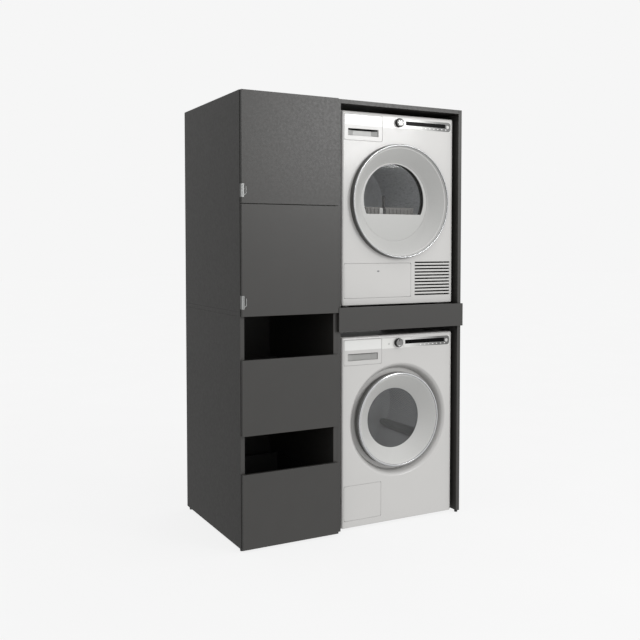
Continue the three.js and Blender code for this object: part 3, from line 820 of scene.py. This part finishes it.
def build_dryer():
    dryer = machine_places("dryer", "tank_drawer", "condenser_cover")
    front = dryer.front
    holes = [rolled(circle_outline(dryer.port, 232 * MM), front, dryer.back, 0.8 * MM, hole=True)]
    vent_x = moved(VENTS.x, middle(dryer.xs))
    vent_low = dryer.zs[0] + VENTS.first
    vent_z = (vent_low, vent_low + (VENTS.count - 1) * VENTS.pitch + VENTS.height)
    holes.append(rolled(rect_outline(vent_x, vent_z, 1 * MM), front, dryer.back, 0.5 * MM, hole=True))
    build_panel(dryer, holes)
    slats = []
    for index in range(VENTS.count - 1):
        slat_z = (vent_low + index * VENTS.pitch + VENTS.height, vent_low + (index + 1) * VENTS.pitch)
        slats.append((grown(vent_x, -0.2 * MM), (front, front + 7 * MM), slat_z))
    brick_piece("dryer_vent_slats", slats, 0.8 * MM, "white_enamel", sharp=50)
    build_vent_duct(dryer, vent_x)
    build_drawer(dryer)
    build_controls(dryer, (srgb(214, 214, 212), srgb(84, 84, 83)))
    build_cover(dryer, mark=True)
    build_dryer_door(dryer)
    metal_look("dryer_drum_steel", DRUM_STEEL, 0.3, (1, 20, 1), 0.5)
    build_drum(dryer, "dryer_drum_steel")
    build_lint_filter(dryer)


def build_vent_duct(machine, vent_x):
    """The duct behind the air slots, near-black and sheenless: painted shade seen through the slots."""
    bm = bmesh.new()
    low = machine.zs[0] + VENTS.first - 8 * MM
    high = low + VENTS.count * VENTS.pitch + 8 * MM
    outline = rect_outline(grown(vent_x, 6 * MM), (low, high), 3 * MM)
    outer = walls(bm, [(outline(0), machine.back + y * MM) for y in (0.5, 42)])
    inner = walls(bm, [(outline(-2 * MM), machine.back + y * MM) for y in (40, 0.5)])
    fill(bm, outer[1])
    fill(bm, inner[0])
    fill(bm, outer[0], inner[1])
    piece("dryer_air_duct", bm, "vent_black", slot="black_plastic")


def build_lint_filter(machine):
    """The lint filter's ribbed housing, at the foot of the port, with its finger grip."""
    bm = bmesh.new()
    x, z = machine.port
    front = machine.front + 80 * MM
    brick(bm, (x - 132 * MM, x + 132 * MM), (front, front + 18 * MM), (z - 150 * MM, z - 22 * MM), 3 * MM)
    rib_y, rib_z = (front - 3 * MM, front + 1 * MM), (z - 140 * MM, z - 30 * MM)
    for index in range(FILTER_RIBS):
        rib = x - 120 * MM + index * 20 * MM
        brick(bm, (rib - 3 * MM, rib + 3 * MM), rib_y, rib_z, 1 * MM)
    piece("dryer_lint_filter", bm, "filter_grey", slot="grey_rubber")
    for part, look, *sides in (
        ("post", "black_plastic", (-38, -26), (-4.5, 6), (-90, 30)),
        ("grip", "white_plastic", (-58, -40), (-5, 1), (-80, -26)),
    ):
        block = [(base + low * MM, base + high * MM) for base, (low, high) in zip((x, front, z), sides)]
        brick_piece(f"dryer_lint_filter_{part}", [block], 2 * MM, look)


def build_dryer_door(machine):
    """The door: a drum-like side, a bright rim and a deep satin dish round the D-shaped window."""
    front = machine.front
    port = machine.port
    body = "dryer_door"
    window = window_outline(port)
    outside = from_mm([(249, -21.3), (247.4, -23.6, 1), (242.5, -16.5, 2), (240.5, -15.5, 1), (239, -16, 1),
                       (184, 38, 6), (178, 42)], front, 2, closed=False)
    inside = from_mm([(249, -20.6), (235.6, -7.6), (206, 52), (190, 52), (190, 46), (178, 46)], front, 2,
                     closed=False)
    bm = bmesh.new()
    outer_rings = walls(bm, [(circle(port, radius), level) for radius, level in outside])
    inner_rings = walls(bm, [(circle(port, radius), level) for radius, level in inside])
    skin(bm, [outer_rings[0], inner_rings[0]])
    skin(bm, [outer_rings[-1], inner_rings[-1]])
    piece("dryer_door_dish", bm, "silver_trim", body, ["dryer_door_frame"], sharp=60)

    # The disc takes a darker copy of the silver trim: painted shade at the bottom of the dish.
    levels = (front + 42 * MM, front + 46 * MM)
    plate_piece("dryer_door_disc", rolled(circle_outline(port, 178 * MM), *levels, 0.6 * MM), "disc_silver", body,
                holes=[rolled(window, *levels, 2.2 * MM, hole=True)], slot="silver_trim", sharp=60)
    # The side takes a dark copy of the silver trim: painted shade where it faces away from the light.
    side = [(257, -1, 0.5), (257, -14, 3), (255, -22), (250, -21), (236.5, -7.7), (226, -1, 0.5)]
    turned_piece("dryer_door_side", port, from_mm(side, front, 0.8), "door_side", body, slot="silver_trim")
    rim = [(254.6, -22.3), (254, -25), (252, -27), (249.4, -27), (248, -24.6), (249.2, -22.3)]
    turned_piece("dryer_door_rim", port, from_mm(rim, front, 1.4), "rim_chrome", body, slot="chrome")
    pane = rolled(lambda grow: window(grow + 8 * MM), front + 46.4 * MM, front + 50.4 * MM, 0.5 * MM)
    plate_piece("dryer_door_pane", pane, "smoked_glass", body, ["dryer_door_glass"])

    # The sleeve is black plastic made near-black: painted shade on the window's deep inner wall.
    bm = bmesh.new()
    outside = walls(bm, [(window(7 * MM), front + 50.6 * MM), (window(5 * MM), front + 74 * MM)])
    inside = walls(bm, [(window(2 * MM), front + 74 * MM), (window(3 * MM), front + 50.6 * MM)])
    skin(bm, [outside[1], inside[0]])
    skin(bm, [inside[1], outside[0]])
    piece("dryer_door_sleeve", bm, "vent_black", body, slot="black_plastic")


# ---------------- cabinet fittings
PULL = SimpleNamespace(plate=11 * MM, groove=5.5 * MM, bar=19.5 * MM, half=17 * MM, hook=7 * MM, thick=2.2 * MM)
RAIL_Y = (10 * MM, 510 * MM)  # from the front of a bin's box or of the tray


def rod(bm, path, radius, level, count=14):
    """A round bar that follows a path across the front, with flat ends."""
    rings = []
    for index, (x, z) in enumerate(path):
        before, after = path[max(index - 1, 0)], path[min(index + 1, len(path) - 1)]
        length = math.hypot(after[0] - before[0], after[1] - before[1])
        side = ((before[1] - after[1]) / length, (after[0] - before[0]) / length)
        turns = [2 * math.pi * step / count for step in range(count)]
        spots = [(radius * math.cos(turn), level + radius * math.sin(turn)) for turn in turns]
        rings.append([bm.verts.new((x + side[0] * out, y, z + side[1] * out)) for out, y in spots])
    skin(bm, rings)
    for end in (rings[0], rings[-1]):
        bm.faces.new(end)


def build_pulls():
    """Edge pulls: a plate bent round the door's edge, and a hooked bar that stands beside it."""
    for door in ("lower_door", "upper_door"):
        node = f"{door}_pull"
        xs, ys, zs = span(node)
        face = ys[0]
        bm = bmesh.new()
        lip = rect_outline((xs[0], xs[0] + PULL.plate), zs, 1.2 * MM)
        groove = (xs[0] + PULL.groove - 0.7 * MM, xs[0] + PULL.groove + 0.7 * MM)
        slot = rect_outline(groove, grown(zs, -3 * MM), 0.6 * MM)
        levels = (face + 0.6 * MM, face + 2.3 * MM)
        plate(bm, rolled(lip, *levels, 0.4 * MM), [rolled(slot, *levels, 0.3 * MM, hole=True)])
        edge = rect_outline((xs[0], xs[0] + 1.2 * MM), zs, 0.3 * MM)
        plate(bm, rolled(edge, face + 2.4 * MM, ys[1], 0.2 * MM))
        piece(f"{node}_plate", bm, "pull_metal", door, [node], "chrome")

        bm = bmesh.new()
        bar_x = xs[0] + PULL.bar
        turn = (bar_x - PULL.hook, middle(zs) - PULL.half + PULL.hook)
        path = [(bar_x, middle(zs) + PULL.half), (bar_x, middle(zs)), *arc(turn, PULL.hook, 0, -math.pi / 2, 10)]
        path.append((xs[0] + PULL.plate - 1 * MM, path[-1][1] - 1 * MM))
        rod(bm, path, PULL.thick, face + PULL.thick)
        piece(f"{node}_hook", bm, "pull_metal", door, slot="chrome")


def build_runner_rails():
    """The moving rail on each side of a bin and of the pull-out tray."""
    for node in ("lower_bin", "upper_bin", "pull_out"):
        xs, ys, _ = span("pull_out_tray" if node == "pull_out" else f"{node}_box")
        _, _, zs = span(f"{node}_runners")
        rail_z = grown((middle(zs), middle(zs)), 14 * MM)
        sides = ((xs[0] - 2.2 * MM, xs[0] - 0.1 * MM), (xs[1] + 0.1 * MM, xs[1] + 2.2 * MM))
        rails = [(x, moved(RAIL_Y, ys[0]), rail_z) for x in sides]
        brick_piece(f"{node}_rails", rails, 0.5 * MM, "zinc_plate", node)


def build_hinge_cups():
    """The door's side of each concealed hinge: a round cup on a flat plate with two screws."""
    for door in ("lower_door", "upper_door"):
        _, door_y, _ = span(door)
        for end in ("bottom", "top"):
            xs, ys, zs = span(f"{door}_hinge_{end}")
            centre = (xs[0] + 12 * MM, middle(zs))
            level = (door_y[1] + 0.1 * MM, ys[0] - 0.2 * MM)
            bm = bmesh.new()
            plate(bm, [(circle(centre, 17.5 * MM, SMALL_ROUND), y) for y in level])
            for side in (-26 * MM, 26 * MM):
                spot = (centre[0] - 6 * MM, centre[1] + side)
                sizes = zip((4 * MM, 3.4 * MM), level)
                plate(bm, [(circle(spot, radius, SCREW_ROUND), y) for radius, y in sizes])
            piece(f"{door}_cup_{end}", bm, "zinc_plate", door)


# ---------------- backs of the machines
REAR = SimpleNamespace(panel=(60 * MM, 150 * MM), thick=1.4 * MM, screw=4.5 * MM, spigot=11 * MM)


def build_rear_panel(machine, high):
    """A service panel on the machine's back, screwed on round its edge."""
    xs, ys, zs = span(f"{machine}_casing")
    across = grown(xs, -REAR.panel[0])
    up = (zs[0] + REAR.panel[1], zs[1] - high)
    level = ys[1]
    outline = rect_outline(across, up, 26 * MM)
    rows = [(outline(0), level + 0.2 * MM), (outline(0), level + REAR.thick),
            (outline(-12 * MM), level + REAR.thick), (outline(-18 * MM), level + 4 * MM)]
    plate_piece(f"{machine}_rear_panel", rows, "white_enamel")
    bm = bmesh.new()
    for x in (across[0] + 6 * MM, middle(across), across[1] - 6 * MM):
        for z in (up[0] + 6 * MM, middle(up), up[1] - 6 * MM):
            if (x, z) != (middle(across), middle(up)):
                hood = [(circle((x, z), REAR.screw * share, SCREW_ROUND), level + REAR.thick + y * MM)
                        for share, y in ((1, 0.1), (1, 1), (0.6, 1.8))]
                plate(bm, hood)
    piece(f"{machine}_rear_screws", bm, "zinc_plate")


def build_rears():
    build_rear_panel("washer", high=210 * MM)
    build_rear_panel("dryer", high=90 * MM)
    xs, ys, zs = span("washer_casing")
    level = ys[1]
    for index, name in enumerate(("cold", "hot")):
        centre = (xs[1] - 110 * MM - index * 60 * MM, zs[1] - 90 * MM)
        bm = bmesh.new()
        thread = [(REAR.spigot + (0.8 * MM if step % 2 else 0), level + (4 + step) * MM) for step in range(14)]
        profile = [(22 * MM, level + 0.2 * MM), (22 * MM, level + 3 * MM), *thread, (8 * MM, level + 17 * MM),
                   (8 * MM, level + 3 * MM), (8 * MM, level + 0.2 * MM)]
        turned(bm, centre, profile, count=SMALL_ROUND)
        piece(f"washer_inlet_{name}", bm, "white_plastic", sharp=30)
    drain = (xs[0] + 110 * MM, zs[1] - 90 * MM)
    profile = [(26, 0.2), (26, 3), (14, 4), (14, 22), (16, 23), (15, 26), (11, 26), (11, 0.2)]
    turned_piece("washer_drain_outlet", drain, from_mm(profile, level, 1), "grey_plastic", slot="grey_rubber",
                 count=SMALL_ROUND, sharp=40)
    xs, ys, zs = span("dryer_casing")
    centre = (middle(xs), middle(zs) + 30 * MM)
    dome = [(0.5, 14), (150, 13), (176, 4.4), (182, 4.4), (182, 4.2), (0.5, 4.2)]
    turned_piece("dryer_rear_duct", centre, from_mm(dome, ys[1], 4), "white_enamel", sharp=40)


# ---------------- stage, light and camera
BACKDROP = srgb(246, 246, 246)
AMBIENT = (0.3, 1.25)  # strength of the soft light at its darkest and its brightest
BRIGHT_SIDE = (0.55, -0.6, 0.58)  # the direction that the brightest soft light comes from
FLOOR_GREY = 0.1  # the floor's own colour, which its shadows darken
FLOOR_GLOW = 0.828  # lifts the floor to the backdrop's brightness


def build_stage():
    """A floor that shows only its shadows against the backdrop."""
    bm = bmesh.new()
    bmesh.ops.create_grid(bm, x_segments=1, y_segments=1, size=30)
    mesh = bpy.data.meshes.new("floor")
    bm.to_mesh(mesh)
    bm.free()
    floor = add_object("floor", mesh)
    grey = (FLOOR_GREY, FLOOR_GREY, FLOOR_GREY, 1)
    look = Look("floor", grey, 0.9, {"Specular IOR Level": 0.0})
    look.mottle(look.noise(0.5), 0.97, 1.03)
    look.shader.inputs["Emission Color"].default_value = (1, 1, 1, 1)
    look.shader.inputs["Emission Strength"].default_value = FLOOR_GLOW
    mesh.materials.append(look.material)
    floor.visible_diffuse = False
    floor.visible_glossy = False
    floor.visible_transmission = False


def area_light(name, spot, target, size, power):
    data = bpy.data.lights.new(name, "AREA")
    data.shape = "RECTANGLE"
    data.size, data.size_y = size
    data.energy = power
    light = add_object(name, data)
    light.location = spot
    light.rotation_euler = (Vector(target) - Vector(spot)).to_track_quat("-Z", "Y").to_euler()
    return light


def build_world():
    """A pale backdrop to look at, and soft light that is strongest from the upper front right."""
    world = bpy.data.worlds.new("studio")
    bpy.context.scene.world = world
    world.use_nodes = True
    tree = world.node_tree
    link = tree.links.new
    soft = tree.nodes["Background"]
    place = tree.nodes.new("ShaderNodeTexCoord")
    lean = tree.nodes.new("ShaderNodeVectorMath")
    lean.operation = "DOT_PRODUCT"
    lean.inputs[1].default_value = BRIGHT_SIDE
    link(place.outputs["Generated"], lean.inputs[0])
    strength = tree.nodes.new("ShaderNodeMapRange")
    for socket, value in zip(strength.inputs[1:5], (-1, 1, *AMBIENT)):
        socket.default_value = value
    link(lean.outputs["Value"], strength.inputs["Value"])
    link(strength.outputs["Result"], soft.inputs["Strength"])
    soft.inputs["Color"].default_value = (1, 1, 1, 1)
    seen = tree.nodes.new("ShaderNodeBackground")
    seen.inputs["Color"].default_value = BACKDROP
    rays = tree.nodes.new("ShaderNodeLightPath")
    mix = tree.nodes.new("ShaderNodeMixShader")
    link(rays.outputs["Is Camera Ray"], mix.inputs[0])
    link(soft.outputs[0], mix.inputs[1])
    link(seen.outputs[0], mix.inputs[2])
    link(mix.outputs[0], tree.nodes["World Output"].inputs["Surface"])


def build_light():
    """The world's light, a large lamp from the upper right, and a hidden one in each drum."""
    build_world()
    area_light("key", spot=(1.75, -3.4, 2.4), target=(0.0, -0.35, 1.5), size=(1.1, 0.9), power=40)
    for machine, power in (("washer", 0.6), ("dryer", 0.4)):
        xs, ys, zs = span(f"{machine}_drum")
        spot = (middle(xs), ys[0] + 30 * MM, zs[1] - 85 * MM)
        target = (middle(xs), ys[1], middle(zs) - 100 * MM)
        lamp = area_light(f"{machine}_drum_lamp", spot, target, (0.14, 0.04), power)
        lamp.visible_camera = False
        lamp.visible_glossy = False
    bpy.context.scene.view_settings.view_transform = "Standard"


def build_camera():
    data = bpy.data.cameras.new("camera")
    data.lens = 47.5
    data.sensor_width = 36.0
    data.shift_x = -0.0126
    data.shift_y = -0.056
    data.clip_end = 100
    camera = add_object("camera", data)
    camera.location = (-1.877, -3.528, 1.262)
    yaw, pitch = math.radians(28.35), math.radians(2.53)
    camera.rotation_euler = (math.pi / 2 - pitch, 0, -yaw)
    bpy.context.scene.camera = camera


build_camera()
dress_cad_nodes()
build_pulls()
build_runner_rails()
build_hinge_cups()
build_rears()
build_washer()
build_dryer()
build_stage()
build_light()
